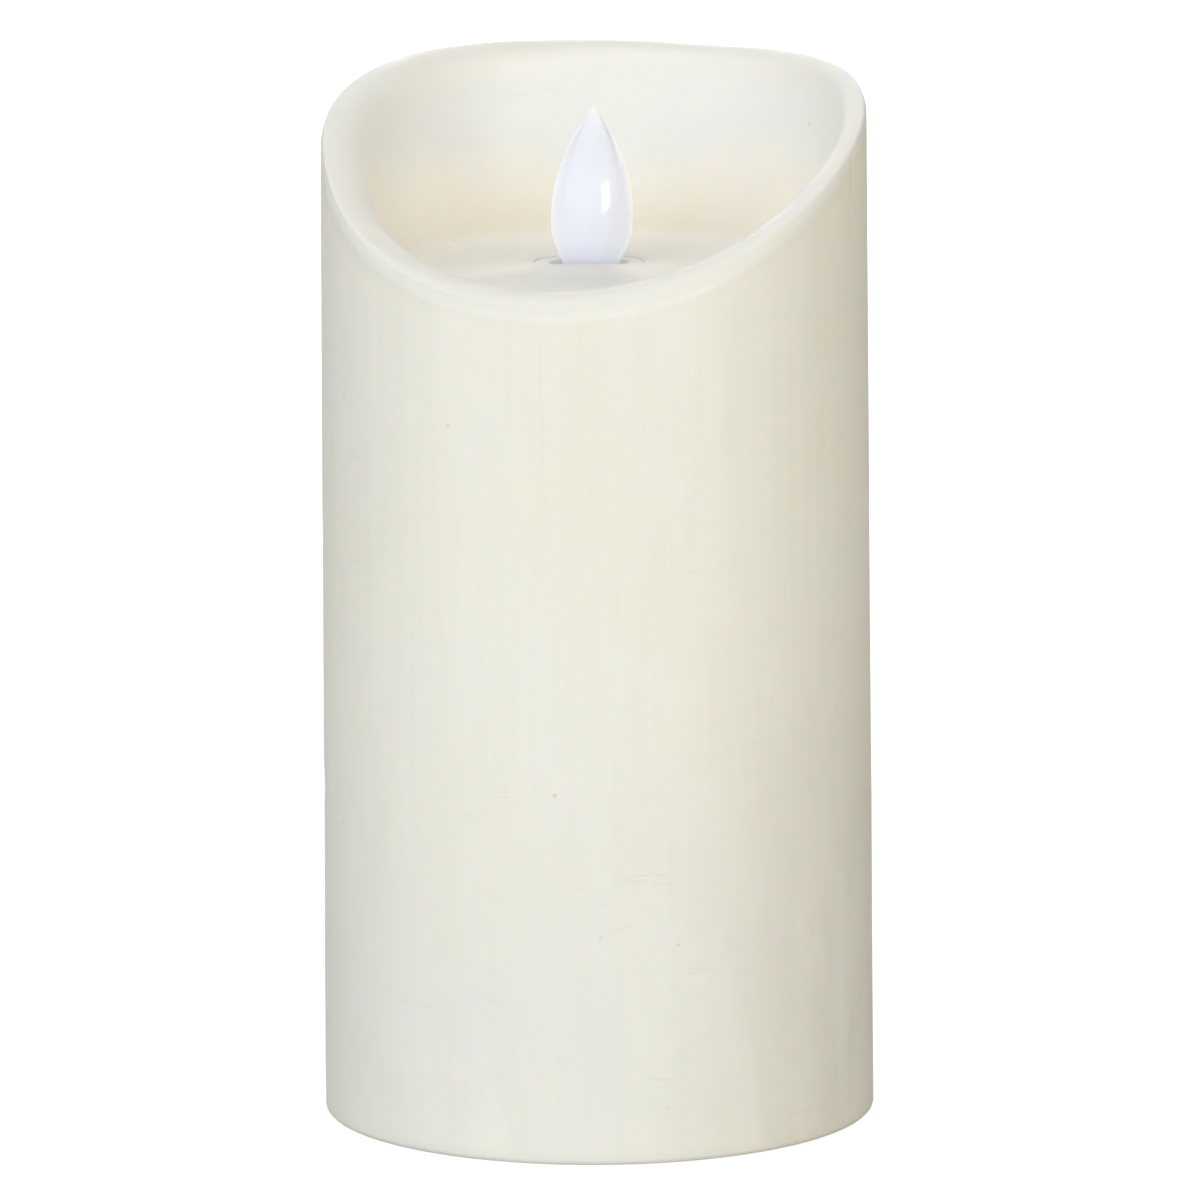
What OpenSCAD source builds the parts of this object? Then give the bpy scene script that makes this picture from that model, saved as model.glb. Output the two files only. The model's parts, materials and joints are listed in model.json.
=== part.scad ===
// Flameless LED pillar candle with a swinging flame.
// Millimetres. Origin: centre of the base on the table. +Z up, low rim to the front (-Y), +X to the right.

/* [Wax pillar] */
// Diameter of the pillar at the table
pillar_d = 80; // [78:0.5:86]
// Loss of radius per millimetre of height, from the mould's draft
draft = 0.0057; // [0:0.0001:0.008]
// Mean height of the rim
rim_mean = 140.8; // [139:0.1:143]
// Height that the rim rises and falls between back and front
rim_tilt = 14.0; // [10:0.1:15]
// Height of the rim's second wave, which steepens its flanks
rim_wave = 3.3; // [0:0.1:4]
// Height of the rim's small third and fourth waves
rim_ripple = 0.5; // [0:0.1:1]
// Height of the bowl's flat floor
floor_z = 124; // [122:0.1:124.2]
// Radius of the flat part of the bowl's floor
floor_r = 22; // [18:0.5:26]
// Radius that rounds the rim's outer edge at the front; the flanks are crisper
rim_outer_r = 2.0; // [1:0.1:2.4]
// Mean width of the rounded shoulder between the bowl's wall and the rim
rim_shoulder = 3.6; // [2.4:0.1:4]
// Thickness of the wax under the bowl's floor
roof_t = 6; // [6:0.5:8]
// Radius of the hollow inside the wax
hollow_r = 34.4; // [33:0.1:34.4]

/* [Flame] */
// Sideways place of the flame's mechanism, a little left of the pillar's axis
mech_x = -0.8; // [-1.5:0.1:1.5]
// Angle at which the flame hangs at rest, tip to the right
flame_lean = 1.8; // [0:0.1:2]
// Widest diameter of the flame
flame_d = 11.8; // [11:0.1:12.4]
// Height of the flame's widest point
flame_wide_z = 130.3; // [129:0.1:131]
// Height of the flame's tip
flame_tip_z = 146.6; // [142:0.1:150]
// Wall thickness of the hollow flame
flame_wall = 1.2; // [1:0.1:1.4]
// Diameter of the hole in the bowl's floor
flame_hole_d = 16.4; // [16.4:0.1:18]
// Opening of the plastic ring that the flame swings in
collar_bore_d = 10.2; // [10.2:0.1:11]

/* [Pendulum] */
// Height of the pivot wire
pivot_z = 115.4; // [115.4:0.1:115.6]
// Diameter of the pivot wire
wire_d = 0.8; // [0.6:0.05:0.8]
// Radial clearance of running fits
running_gap = 0.05; // [0.02:0.01:0.08]
// Height of the magnet's lower face
magnet_z = 86; // [85.5:0.5:88]

/* [Base] */
// Recess of the plastic base above the table
base_recess = 1.2; // [1.2:0.1:1.6]
// Radius of the plastic base
base_r = 34.9; // [34.7:0.05:34.95]
// Diameter of an AA cell
cell_d = 14.5; // [13.8:0.1:14.5]
// Length of an AA cell with its nub
cell_len = 50.5; // [49.5:0.1:50.5]
// Travel of the switch knob to each side
switch_travel = 2.5; // [1:0.1:2.5]

/* [Hidden] */
$fn = 64;
eps = 0.01;
slack = 0.1;

// Pillar
pillar_r = pillar_d / 2;
edge_r = pillar_r - draft * rim_mean - 0.25;
foot_chamfer = 0.8;
wall_lean = 12;
rim_steps = 96;
bowl_steps = 5;
round_steps = 3;
seat_h = 26.2;
seat_r = base_r + 0.3;
roof_z = floor_z - roof_t;

// Mechanism housing
house_r = 14;
house_wall = 1.6;
house_z = 70;
flange_r = 18;
flange_t = 1.6;
flange_z = roof_z - slack - flange_t;
neck_r = 7.2;
neck_wall = 1.4;
neck_top = floor_z - 1.9;
ear_x = 16.6;
ear_z = 95;
ear_r = 3;
ear_len = 12;
board_z = 73;
board_t = 1.2;
board_r = 11.8;
board_top = board_z + board_t;

// Flame profile
flame_r = flame_d / 2;
flame_h = flame_tip_z - flame_wide_z;
flame_neck_r = 3.1;
flame_bottom = 118.5;
flame_foot_curve = 0.0445;
carrier_plug_r = flame_neck_r - flame_wall - running_gap;

// Lamp behind the pendulum, tilted towards the flame
led_tilt = 30;
led_y = 7.6;
led_z = 105.5;
led_rim_r = 1.9;
led_rim_h = 0.85;
led_r = 1.5;
led_body_h = 3;
lead_pitch = 2.54;

// Coil
bobbin_z = board_top + 0.02;
bobbin_h = 9.2;
bobbin_r = 6.4;

// Base
tray_floor_t = 2.4;
tray_z = base_recess;
tray_in = tray_z + tray_floor_t;
tray_wall = 1.7;
tray_top = 23.9;
rebate_z = tray_z + 1.4;
door_t = 1.3;
bay_x = 28;
bay_front = -16;
bay_back = 14;
bay_wall = 1.2;
bay_top = 18.9;
cell_pitch = 15;
cell_r = cell_d / 2;
cell_z = tray_in + 0.4 + cell_r;
cell_front_y = (bay_front + bay_back) / 2 - cell_pitch / 2;
cell_rear_y = cell_front_y + cell_pitch;
contact_t = 0.38;
contact_x = bay_x - 0.02 - contact_t;
cell_end_x = contact_x - 0.05;
nub_len = 1;
spring_wire_r = 0.4;
hinge_y = -20.2;
hinge_z = tray_z + 1.35;
hinge_r = 1.35;
hinge_half = 20;
hinge_pin_r = 0.8;
hinge_pin_len = 2.6;
switch_y = 24;
cover_bosses = [[-16.5, -26], [16.5, -26], [-19.5, 24], [19.5, 24]];
wire_hole = [0, 21];
case_z = tray_in + 0.02;
case_h = 5.4;
sign_depth = 0.3;

// Insulated wires, from the base to the board
wire_r = 0.6;
lead_top = board_z - 0.03;
term_top = case_z + case_h + 2.44;

// Rim height at an angle counted from the front (-Y) towards the right (+X)
function rim_z(a) = rim_mean + rim_tilt * cos(a - 170) + rim_wave * cos(2 * a - 150)
    + rim_ripple * cos(3 * a + 27) + 0.6 * rim_ripple * cos(4 * a + 49);

// The outer edge is melted round at the front and crisp on both flanks
function outer_round(a) = rim_outer_r * (0.25 + 0.3 * pow(cos(a), 2) + 0.45 * pow(max(0, cos(a)), 3));

// The shoulder is widest at the left
function shoulder(a) = rim_shoulder * (1 + 0.45 * cos(a - 290));

// Radius of the drafted outside at height z
function side_r(z) = pillar_r - draft * z;

// Section of the wax at one angle, as [radius, height], from the bowl's floor over the rim and down outside
function wax_section(a) =
    let (crest = rim_z(a), outer = outer_round(a), crest_r = edge_r - outer - 0.3)
    let (soft = shoulder(a), soft_h = min(0.9 * soft, 0.5 * (crest - floor_z)))
    let (wall_r = crest_r - soft * cos(wall_lean), wall_z = crest - soft_h * (1 - sin(wall_lean)))
    let (wall_w = (wall_r - floor_r) / cos(wall_lean), wall_h = (wall_z - floor_z) / (1 - sin(wall_lean)))
    concat(
        [for (i = [0:bowl_steps]) let (t = (90 - wall_lean) * i / bowl_steps)
            [floor_r + wall_w * sin(t), floor_z + wall_h * (1 - cos(t))]],
        [for (i = [1:round_steps]) let (t = wall_lean + (90 - wall_lean) * i / round_steps)
            [crest_r - soft * cos(t), crest - soft_h * (1 - sin(t))]],
        [for (i = [0:round_steps]) let (t = 90 * i / round_steps)
            [edge_r - outer * (1 - sin(t)), crest - outer * (1 - cos(t))]],
        [[side_r(crest - outer - 0.5), crest - outer - 0.5], [pillar_r, foot_chamfer],
            [pillar_r - foot_chamfer, 0]]
    );

// Place of a section point around the pillar
function around(p, a) = [p[0] * sin(a), -p[0] * cos(a), p[1]];

function unit(v) = v / norm(v);

// Point on a smooth curve through p at place t between points i and i + 1
function curve_point(p, i, t) =
    let (a = p[max(i - 1, 0)], b = p[i], c = p[i + 1], d = p[min(i + 2, len(p) - 1)])
    0.5 * (2 * b + (c - a) * t + (2 * a - 5 * b + 4 * c - d) * t * t
        + (3 * b - a - 3 * c + d) * t * t * t);

// Smooth curve through p with n points in each stretch
function curve(p, n) = concat(
    [for (i = [0:len(p) - 2]) for (j = [0:n - 1]) curve_point(p, i, j / n)], [p[len(p) - 1]]);

// Round wire of radius r along a list of points; ref is a direction the wire never follows
module wire(points, r, ref, sides = 8) {
    last = len(points) - 1;
    ring = [for (i = [0:last])
        let (t = unit(points[min(i + 1, last)] - points[max(i - 1, 0)]))
        let (u = unit(cross(t, ref)), v = cross(t, u))
        [for (k = [0:sides - 1]) points[i] + r * (u * cos(360 * k / sides) + v * sin(360 * k / sides))]];
    verts = [for (i = [0:last]) for (k = [0:sides - 1]) ring[i][k]];
    skin = [for (i = [0:last - 1]) for (k = [0:sides - 1])
        let (a = i * sides + k, b = i * sides + (k + 1) % sides)
        for (f = [[a, a + sides, b + sides], [a, b + sides, b]]) f];
    caps = [[for (k = [0:sides - 1]) k], [for (k = [sides - 1:-1:0]) last * sides + k]];
    polyhedron(points = verts, faces = concat(skin, caps), convexity = 6);
}

// Cylinder along X from x to x + len
module rod_x(x, y, z, len, r) {
    translate([x, y, z]) rotate([0, 90, 0]) cylinder(h = len, r = r);
}

// Cylinder along Y from y to y + len
module rod_y(x, y, z, len, r) {
    translate([x, y, z]) rotate([-90, 0, 0]) cylinder(h = len, r = r);
}

// Block between two corners
module block(low, high) {
    translate(low) cube(high - low);
}

// Pan-head screw pointing down, with its head's underside at the origin and a cross recess
module screw(shank_r, shank_len, head_r, head_h) {
    difference() {
        union() {
            translate([0, 0, -shank_len]) cylinder(h = shank_len + eps, r = shank_r);
            cylinder(h = head_h, r1 = head_r, r2 = head_r * 0.8);
        }
        for (a = [0, 90]) rotate([0, 0, a])
            translate([-head_r * 0.55, -head_r * 0.14, head_h * 0.45])
                cube([head_r * 1.1, head_r * 0.28, head_h]);
    }
}

// Everything that carries the flame stands at mech_x
module at_mech() {
    translate([mech_x, 0, 0]) children();
}

// The flame and its pendulum lean about the pivot wire
module at_flame() {
    translate([mech_x, 0, pivot_z]) rotate([0, flame_lean, 0]) translate([0, 0, -pivot_z]) children();
}

// ---- Wax ----

// The wax before it is hollowed from below
module wax_blank() {
    sections = [for (i = [0:rim_steps - 1]) let (a = 360 * i / rim_steps)
        [for (p = wax_section(a)) around(p, a)]];
    n = len(sections[0]);
    verts = [for (s = sections) for (p = s) p];
    skin = [for (i = [0:rim_steps - 1]) for (k = [0:n - 2])
        let (a = i * n + k, b = ((i + 1) % rim_steps) * n + k)
        for (f = [[a, b + 1, b], [a, a + 1, b + 1]]) f];
    caps = [[for (i = [0:rim_steps - 1]) i * n], [for (i = [rim_steps - 1:-1:0]) i * n + n - 1]];
    polyhedron(points = verts, faces = concat(skin, caps), convexity = 8);
}

module wax_pillar() {
    color("ivory") difference() {
        wax_blank();
        translate([0, 0, -1]) cylinder(h = seat_h + 1, r = seat_r);
        rotate_extrude() polygon([
            [0, -1], [hollow_r, -1], [hollow_r, roof_z - 8], [hollow_r - 2, roof_z - 3],
            [hollow_r - 6, roof_z], [0, roof_z]]);
        at_mech() translate([0, 0, roof_z - 1]) cylinder(h = roof_t + 2, d = flame_hole_d);
    }
}

// ---- Flame and pendulum ----

// Outer radius of the flame at height z
function flame_radius(z) = z > flame_wide_z
    ? flame_r * (1 - pow((z - flame_wide_z) / flame_h, 2))
    : max(flame_neck_r, flame_r - flame_foot_curve * pow(flame_wide_z - z, 2));

module flame_shell() {
    tip_gap = 3;
    outer = [for (i = [0:28]) let (z = flame_bottom + (flame_tip_z - 0.15 - flame_bottom) * i / 28)
        [flame_radius(z), z]];
    inner = [for (i = [28:-1:0])
        let (z = flame_bottom + (flame_tip_z - tip_gap - flame_bottom) * i / 28)
        [max(0.05, flame_radius(z) - flame_wall), z]];
    color("white", 0.85) at_flame() rotate_extrude()
        polygon(concat(outer, [[0, flame_tip_z]], [[0, flame_tip_z - tip_gap]], inner));
}

// Arm that hangs the flame on the wire: plug, flared eyelet, blade and magnet cup
module flame_carrier() {
    eye_r = 1.9;
    eye_half = 1.5;
    hole_r = wire_d / 2 + running_gap;
    flare_half = 2;
    flare_r = hole_r + 0.3;
    cup_r = 3.4;
    cup_top = magnet_z + 5.2;
    color("whitesmoke") at_flame() difference() {
        union() {
            translate([0, 0, pivot_z]) cylinder(h = 120.6 - pivot_z, r = carrier_plug_r);
            translate([0, 0, pivot_z + 0.8]) cylinder(h = flame_bottom - slack - pivot_z - 0.8, r = 2.9);
            rod_x(-eye_half, 0, pivot_z, 2 * eye_half, eye_r);
            block([-eye_half, -0.8, cup_top - 0.6], [eye_half, 0.8, pivot_z]);
            translate([0, 0, magnet_z]) cylinder(h = cup_top - magnet_z, r = cup_r);
        }
        // hole that widens to both sides, so that the flame can rock on the wire
        rod_x(-eye_half - 1, 0, pivot_z, 2 * eye_half + 2, hole_r);
        for (s = [-1, 1]) translate([s * flare_half, 0, pivot_z]) rotate([0, s * -90, 0])
            cylinder(h = flare_half - 0.2, r1 = flare_r, r2 = hole_r);
        translate([0, 0, magnet_z - 1]) cylinder(h = 4.1, r = 2.5 + running_gap);
        translate([0, 0, flame_bottom]) cylinder(h = 4, r = 0.9);
    }
}

module pendulum_magnet() {
    color("silver") at_flame() translate([0, 0, magnet_z]) cylinder(h = 3, r = 2.5);
}

module pivot_wire() {
    color("lightgray") at_mech() rod_x(-house_r + 0.7, 0, pivot_z, 2 * (house_r - 0.7), wire_d / 2);
}

// Ring in the bowl's floor that caps the housing's neck
module flame_collar() {
    outer_r = flame_hole_d / 2 - 0.15;
    skirt_r = neck_r + 0.08;
    bore_r = collar_bore_d / 2;
    top = floor_z - slack;
    color("white") at_mech() rotate_extrude() polygon([
        [skirt_r, roof_z], [outer_r, roof_z], [outer_r, top - 0.3], [outer_r - 0.3, top],
        [bore_r + 0.6, top], [bore_r, top - 1], [bore_r, neck_top + 0.05], [skirt_r, neck_top + 0.05]]);
}

// ---- Mechanism housing ----

// The whole housing, from which each half takes its side of the split
module housing_body() {
    in_r = house_r - house_wall;
    difference() {
        union() {
            rotate_extrude() polygon([
                [0, house_z], [house_r - 1, house_z], [house_r, house_z + 1], [house_r, flange_z],
                [flange_r, flange_z], [flange_r, flange_z + flange_t], [neck_r, flange_z + flange_t],
                [neck_r, neck_top], [0, neck_top]]);
            for (s = [-1, 1]) rod_y(s * ear_x, -ear_len / 2, ear_z, ear_len, ear_r);
        }
        rotate_extrude() polygon([
            [0, house_z + house_wall], [in_r - 1.4, house_z + house_wall], [in_r - 1.4, board_z - 0.05],
            [in_r, board_z - 0.05], [in_r, flange_z], [neck_r - neck_wall, flange_z],
            [neck_r - neck_wall, neck_top + 1], [0, neck_top + 1]]);
        translate([0, 0, house_z - 1]) cylinder(h = house_wall + 2, r = 3);
        rod_x(-house_r + 0.6, 0, pivot_z, 2 * (house_r - 0.6), wire_d / 2 + running_gap);
    }
}

// Side of the split plane that one half keeps; side is -1 for the front and 1 for the rear
module half_space(side) {
    translate([-30, side > 0 ? 0.02 : -30.02, house_z - 5]) cube([60, 30, 60]);
}

module housing_front() {
    color("gainsboro") at_mech() difference() {
        intersection() {
            housing_body();
            half_space(-1);
        }
        for (s = [-1, 1]) {
            rod_y(s * ear_x, -ear_len, ear_z, ear_len + 1, 1.1);
            rod_y(s * ear_x, -ear_len / 2 - 1, ear_z, 2.4, 2.1);
        }
    }
}

// Place of the lamp, at the foot of its dome's rim
module at_led() {
    translate([0, led_y, led_z]) rotate([led_tilt, 0, 0]) children();
}

module housing_rear() {
    color("gainsboro") at_mech() difference() {
        union() {
            intersection() {
                housing_body();
                half_space(1);
            }
            // sleeve that holds the lamp, and the rib that carries it
            at_led() translate([0, 0, 0.9]) cylinder(h = 2.4, r = 2.5);
            block([-1, led_y + 1.2, led_z + 0.6], [1, house_r - 1, led_z + 2.4]);
        }
        at_led() translate([0, 0, -3]) cylinder(h = 9, r = led_r + 0.06);
        at_led() translate([0, 0, -3]) cylinder(h = 3.88, r = led_rim_r + 0.15);
        for (s = [-1, 1]) rod_y(s * ear_x, -1, ear_z, 5.5, 0.85);
    }
}

module housing_screws() {
    color("silver") at_mech() for (s = [-1, 1])
        translate([s * ear_x, -ear_len / 2 + 1.4 - eps, ear_z]) rotate([90, 0, 0]) screw(0.8, 8.8, 1.9, 1.3);
}

// ---- Coil, lamp and board ----

module coil_bobbin() {
    color("black") at_mech() translate([0, 0, bobbin_z]) rotate_extrude() polygon([
        [1.4, 0], [bobbin_r, 0], [bobbin_r, 0.9], [2.3, 0.9], [2.3, bobbin_h - 0.9],
        [bobbin_r, bobbin_h - 0.9], [bobbin_r, bobbin_h], [1.4, bobbin_h]]);
}

// Wound copper, with the ridges of its outer layer
module coil_winding() {
    turns = 14;
    low = 0.95;
    pitch = (bobbin_h - 2 * low) / turns;
    ridges = [for (i = [0:turns - 1]) for (p = [[5.55, low + i * pitch], [5.8, low + (i + 0.5) * pitch]]) p];
    color("peru") at_mech() translate([0, 0, bobbin_z]) rotate_extrude()
        polygon(concat([[2.35, low]], ridges, [[5.55, bobbin_h - low], [2.35, bobbin_h - low]]));
}

module led_lamp() {
    color("lightyellow") at_mech() at_led() {
        cylinder(h = led_rim_h, r = led_rim_r);
        translate([0, 0, led_rim_h - eps]) cylinder(h = led_body_h, r = led_r);
        translate([0, 0, led_rim_h + led_body_h - 2 * eps]) intersection() {
            sphere(r = led_r);
            cylinder(h = 2, r = 2);
        }
    }
}

module led_leads() {
    lead_r = 0.22;
    back_y = led_y + 1;
    color("silver") at_mech() for (s = [-1, 1]) let (x = s * lead_pitch / 2)
        wire(curve([
            [x, led_y + 0.12, led_z - 0.25], [x, led_y + 0.7, led_z - 1.3], [x, back_y, led_z - 4],
            [x, back_y, 92], [x, back_y, 84], [x, back_y, board_top + 0.02]], 4),
            lead_r, [1, 0, 0], 6);
}

module control_board() {
    color("darkgreen") at_mech() difference() {
        translate([0, 0, board_z]) cylinder(h = board_t, r = board_r);
        for (a = [0:90:270]) rotate([0, 0, a + 45])
            translate([9.6, 0, board_z - 1]) cylinder(h = board_t + 2, r = 0.6);
    }
}

module driver_chip() {
    color("dimgray") at_mech() translate([-9.1, 0, board_top + 0.02]) {
        translate([-1.6, -2.45, 0.15]) cube([3.2, 4.9, 1.3]);
        for (y = [-1.9:1.27:1.95]) translate([-2.1, y - 0.2, 0]) cube([4.2, 0.4, 0.4]);
    }
}

module board_capacitor() {
    color("navy") at_mech() translate([0, -9.1, board_top + 0.02]) rotate_extrude() polygon([
        [0, 0], [2.3, 0], [2.4, 0.3], [2.4, 0.9], [2.2, 1.2], [2.4, 1.5], [2.4, 5.6], [2.1, 6], [0, 6]]);
}

module board_resistors() {
    color("black") at_mech() for (y = [-3, 0, 3])
        translate([8, y - 0.65, board_top + 0.02]) cube([2, 1.3, 0.55]);
}

// ---- Base ----

// Signs moulded into the underside
module ring_sign(x, y, r) {
    translate([x, y, tray_z - eps]) difference() {
        cylinder(h = sign_depth + eps, r = r);
        translate([0, 0, -1]) cylinder(h = 3, r = r - 0.35);
    }
}

module bar_sign(x, y, w, d) {
    block([x - w / 2, y - d / 2, tray_z - eps], [x + w / 2, y + d / 2, tray_z + sign_depth]);
}

module switch_signs() {
    sign_y = switch_y + 5.6;
    ring_sign(0, sign_y, 1.0);
    bar_sign(6, sign_y, 0.4, 2);
    ring_sign(-6, sign_y, 1.1);
    bar_sign(-6, sign_y + 0.3, 0.3, 0.6);
    bar_sign(-5.75, sign_y, 0.6, 0.3);
}

module base_tray() {
    slot_half = switch_travel + 2;
    color("oldlace") difference() {
        intersection() {
            translate([0, 0, tray_z]) cylinder(h = tray_top - tray_z, r = base_r);
            union() {
                translate([0, 0, tray_z]) cylinder(h = tray_floor_t, r = base_r);
                difference() {
                    translate([0, 0, tray_z]) cylinder(h = tray_top - tray_z, r = base_r);
                    translate([0, 0, tray_z - 1]) cylinder(h = tray_top + 2, r = base_r - tray_wall);
                }
                block([-bay_x - bay_wall, bay_front - bay_wall, tray_z],
                    [bay_x + bay_wall, bay_back + bay_wall, bay_top + 1.5]);
                for (p = cover_bosses) translate([p[0], p[1], tray_z])
                    cylinder(h = tray_top - tray_z, r = 2.8);
                for (s = [-1, 1]) translate([s * 21.6 - 1.4, hinge_y - 2, tray_z]) cube([2.8, 4, 3.4]);
            }
        }
        // cell bay, open below
        block([-bay_x, bay_front, tray_z - 1], [bay_x, bay_back, bay_top]);
        // rebate of the door, its finger notch and its latch pocket
        block([-29, bay_front - 0.9, tray_z - 1], [29, bay_back + 1.4, rebate_z]);
        block([-6.2, bay_back, tray_z - 1], [6.2, bay_back + 4.2, rebate_z]);
        block([-5.4, bay_back + bay_wall + 0.2, tray_z], [5.4, bay_back + 4.2, tray_in + 1]);
        // slot of the hinge barrel and bores of its pins
        block([-hinge_half - 0.15, hinge_y - 2.2, tray_z - 1], [hinge_half + 0.15, -17.6, tray_in + 2]);
        block([-hinge_half - 0.15, -17.7, tray_z - 1], [hinge_half + 0.15, bay_front, rebate_z]);
        for (s = [-1, 1]) rod_x(s > 0 ? hinge_half : -hinge_half - hinge_pin_len - 0.2, hinge_y, hinge_z,
            hinge_pin_len + 0.2, hinge_pin_r + running_gap);
        // slots of the contact tabs, and the windows between the two cells' poles
        for (y = [cell_front_y, cell_rear_y])
            block([contact_x - 0.2, y - 1.3, bay_top - 1], [bay_x + 0.2, y + 1.3, bay_top + 3]);
        // switch: dished finger recess and slot
        translate([0, switch_y, tray_z - eps]) linear_extrude(0.8) hull()
            for (s = [-1, 1]) translate([s * 4.5, 0]) circle(r = 3.2);
        block([-slot_half, switch_y - 1.7, tray_z - 1], [slot_half, switch_y + 1.7, tray_in + 1]);
        for (s = [-1, 1]) translate([s * 8.2, switch_y, tray_in - 1.7]) cylinder(h = 3, r = 0.95);
        for (p = cover_bosses) translate([p[0], p[1], tray_top - 11]) cylinder(h = 12, r = 1.15);
        switch_signs();
    }
}

module base_cover() {
    z = tray_top + 0.1;
    color("oldlace") difference() {
        union() {
            translate([0, 0, z]) cylinder(h = 1.6, r = base_r);
            translate([wire_hole[0], wire_hole[1], z]) cylinder(h = 2.4, r = 5);
        }
        translate([wire_hole[0], wire_hole[1], z - 1]) cylinder(h = 5, r = 3.6);
        for (p = cover_bosses) translate([p[0], p[1], z - 1]) cylinder(h = 4, r = 1.4);
    }
}

module cover_screws() {
    color("silver") for (p = cover_bosses)
        translate([p[0], p[1], tray_top + 1.72]) screw(1.1, 9, 2.2, 1.4);
}

module battery_door() {
    grip_y = bay_back + 1.6;
    pin_end = hinge_half + hinge_pin_len;
    color("oldlace") difference() {
        union() {
            block([-28.8, hinge_y + 3.6, tray_z], [28.8, bay_back + 1.2, tray_z + door_t]);
            block([-hinge_half, hinge_y, tray_z], [hinge_half, bay_back, tray_z + door_t]);
            block([-6, bay_back, tray_z], [6, bay_back + 3.6, tray_z + door_t]);
            rod_x(-hinge_half, hinge_y, hinge_z, 2 * hinge_half, hinge_r);
            rod_x(-pin_end, hinge_y, hinge_z, 2 * pin_end, hinge_pin_r);
            // latch tongue with its snap bead
            block([-5, bay_back + 1.8, tray_z], [5, bay_back + 2.8, tray_z + 5.2]);
            rod_x(-3, bay_back + 2.8, tray_z + 3.4, 6, 0.35);
            // cradle ribs under the cells
            for (x = [-14, 0, 14])
                block([x - 0.6, bay_front + 1, tray_z], [x + 0.6, bay_back - 1, cell_z - cell_r - 0.1]);
        }
        // finger grip grooves and the poles' signs
        for (i = [-2:2]) bar_sign(0, grip_y + i * 0.8, 8, 0.3);
        cell_sign(cell_front_y, -1);
        cell_sign(cell_rear_y, 1);
    }
}

// Outline of one cell with its two poles, moulded into the door; pole is the side of the cell's nub
module cell_sign(y, pole) {
    half = 24;
    width = 11;
    line = 0.3;
    for (e = [-1, 1]) {
        bar_sign(0, y + e * width / 2, 2 * half, line);
        bar_sign(e * half, y, line, width + line);
        bar_sign(e * 20, y, 4, 0.8);
    }
    bar_sign(pole * 20, y, 0.8, 4);
    bar_sign(pole * (half + 1.2), y, 2, 4);
}

// AA cell along X; pole is the side that its nub points to
module cell(y, pole) {
    body_len = cell_len - nub_len;
    translate([pole * cell_end_x, y, cell_z]) rotate([0, pole * -90, 0]) rotate_extrude() polygon([
        [0, 0], [2.6, 0], [2.75, 0.15], [2.75, nub_len], [6.3, nub_len], [6.9, nub_len + 0.2],
        [cell_r, nub_len + 0.7], [cell_r, nub_len + body_len - 0.7], [cell_r - 0.5, nub_len + body_len - 0.1],
        [4.6, nub_len + body_len - 0.1], [4.4, nub_len + body_len], [0, nub_len + body_len]]);
}

module front_cell() {
    color("slategray") cell(cell_front_y, -1);
}

module rear_cell() {
    color("slategray") cell(cell_rear_y, 1);
}

// Sheet plate against a bay end; side is -1 left or 1 right
module contact_plate(side, y_low, y_high) {
    x_low = side > 0 ? contact_x : -contact_x - contact_t;
    block([x_low, y_low, cell_z - 5], [x_low + contact_t, y_high, cell_z + 5.5]);
}

module contact_tab(y) {
    block([contact_x, y - 1, cell_z], [contact_x + contact_t, y + 1, bay_top + 2.6]);
}

// Conical spring between a contact plate and the flat end of a cell
module contact_spring(side, y) {
    turns = 3.5;
    steps = 56;
    reach = contact_x - 0.03 - (cell_len - cell_end_x) - 0.03 - 2 * spring_wire_r;
    start = contact_x - 0.03 - spring_wire_r;
    wire([for (i = [0:steps]) let (t = i / steps, a = 360 * turns * t)
        let (r = 5.2 - 2.2 * t, lift = reach * min(1, max(0, (t - 0.12) / 0.76)))
        [side * (start - lift), y + r * cos(a), cell_z + r * sin(a)]], spring_wire_r, [1, 0, 0]);
}

module bridge_contact() {
    color("silver") contact_plate(-1, cell_front_y - 5, cell_rear_y + 5.6);
}

module positive_contact() {
    color("silver") {
        contact_plate(1, cell_rear_y - 5, cell_rear_y + 5);
        contact_tab(cell_rear_y);
    }
}

module negative_contact() {
    color("silver") {
        contact_plate(1, cell_front_y - 5.6, cell_front_y + 5.6);
        contact_tab(cell_front_y);
    }
}

module bridge_spring() {
    color("silver") contact_spring(-1, cell_rear_y);
}

module negative_spring() {
    color("silver") contact_spring(1, cell_front_y);
}

// ---- Switch ----

module switch_case() {
    color("darkgray") difference() {
        union() {
            block([-6.3, switch_y - 3.3, case_z], [6.3, switch_y + 3.3, case_z + case_h]);
            block([-10, switch_y - 2.2, case_z], [10, switch_y + 2.2, case_z + 1]);
        }
        block([-switch_travel - 1.9, switch_y - 1.7, case_z - 1],
            [switch_travel + 1.9, switch_y + 1.7, case_z + 2.6]);
        for (s = [-1, 1]) translate([s * 8.2, switch_y, case_z - 1]) cylinder(h = 3, r = 1.1);
    }
}

module switch_knob() {
    color("dimgray") difference() {
        block([-1.8, switch_y - 1.6, tray_z + 0.1], [1.8, switch_y + 1.6, case_z + 2.5]);
        for (x = [-1, 0, 1]) block([x - 0.2, switch_y - 2, tray_z], [x + 0.2, switch_y + 2, tray_z + 0.4]);
    }
}

module switch_terminals() {
    color("silver") for (x = [-2.5, 0, 2.5])
        block([x - 0.7, switch_y - 0.2, case_z + case_h + 0.01],
            [x + 0.7, switch_y + 0.2, case_z + case_h + 2.4]);
}

module switch_screws() {
    color("silver") for (s = [-1, 1])
        translate([s * 8.2, switch_y, case_z + 1.02]) screw(0.9, 2.6, 1.7, 1);
}

// ---- Wires ----

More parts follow.
